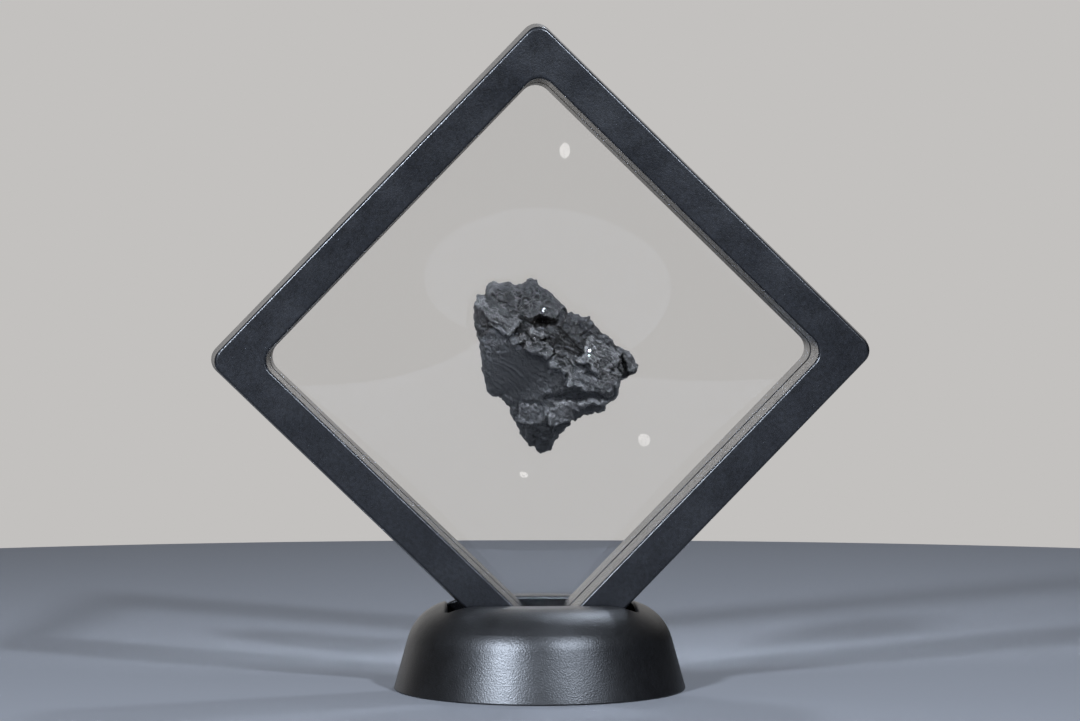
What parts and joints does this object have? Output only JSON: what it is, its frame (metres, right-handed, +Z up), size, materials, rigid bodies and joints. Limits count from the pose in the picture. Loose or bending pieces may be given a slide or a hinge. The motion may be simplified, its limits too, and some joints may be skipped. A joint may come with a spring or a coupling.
{
  "type": "iron meteorite in clear film display frame",
  "caption": "Iron meteorite held between clear elastic films in a square plastic frame that stands on one corner in a round slotted stand.",
  "frame": {"origin": "middle of the whole object's footprint, on the surface that the stand rests on", "axes": "+Z up through the frame's top corner, +Y to the back, through the thin way of the object, +X to the viewer's right"},
  "size_m": [0.1248, 0.0556, 0.1259],
  "materials": {
    "meteorite_iron": "rough dark weathered iron with flaky ledges",
    "clear_film": "clear glossy stretched elastic film",
    "frame_plastic": "fine matte moulded black plastic",
    "stand_plastic": "satin moulded black plastic"
  },
  "bodies": {
    "root": {"meteorite": "meteorite_iron", "film_front": "clear_film", "film_back": "clear_film", "frame_front": "frame_plastic", "frame_back": "frame_plastic", "stand": "stand_plastic"}
  },
  "joints": []
}
